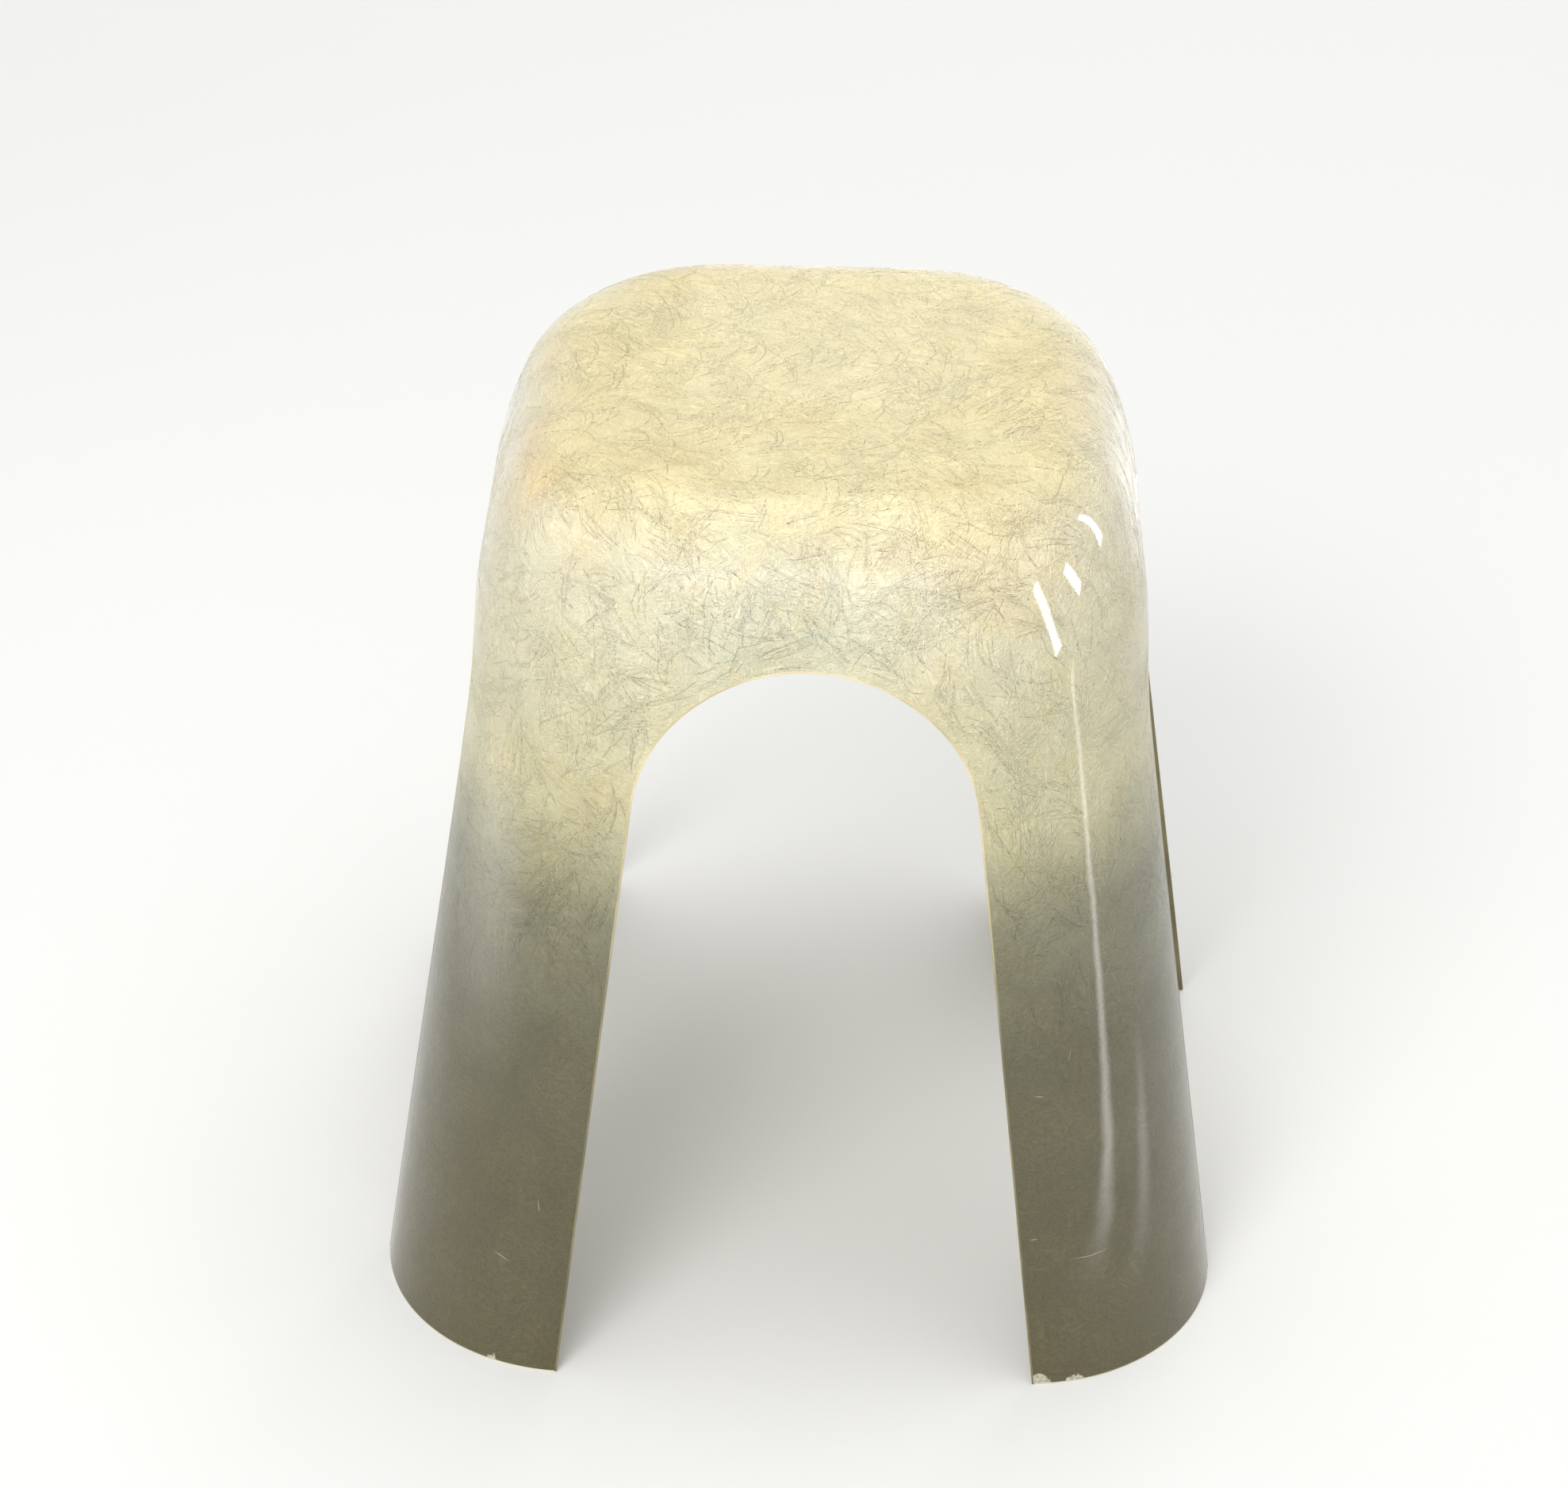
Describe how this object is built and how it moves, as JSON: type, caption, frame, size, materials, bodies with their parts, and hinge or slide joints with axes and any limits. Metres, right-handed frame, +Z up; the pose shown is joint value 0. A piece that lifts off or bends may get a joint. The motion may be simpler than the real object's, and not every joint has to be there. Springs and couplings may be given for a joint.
{
  "type": "stool",
  "caption": "Low square stool moulded from translucent glass-fibre resin, with a soft-edged level seat, four leaning rounded legs and an arch in every side.",
  "frame": {"origin": "on the floor, under the middle of the seat", "axes": "+Z up; +X to the right and +Y to the back as the picture looks at it"},
  "size_m": [0.4196, 0.4196, 0.448],
  "materials": {
    "gel_coat_resin": "gloss",
    "fibre_laminate": "translucent, with chopped glass strands showing",
    "flow_coat_resin": "satin",
    "edge_resin": "gloss"
  },
  "bodies": {
    "root": {"gel_coat": "gel_coat_resin", "mat_laminate": "fibre_laminate", "flow_coat": "flow_coat_resin", "edge_seal": "edge_resin"}
  },
  "joints": []
}
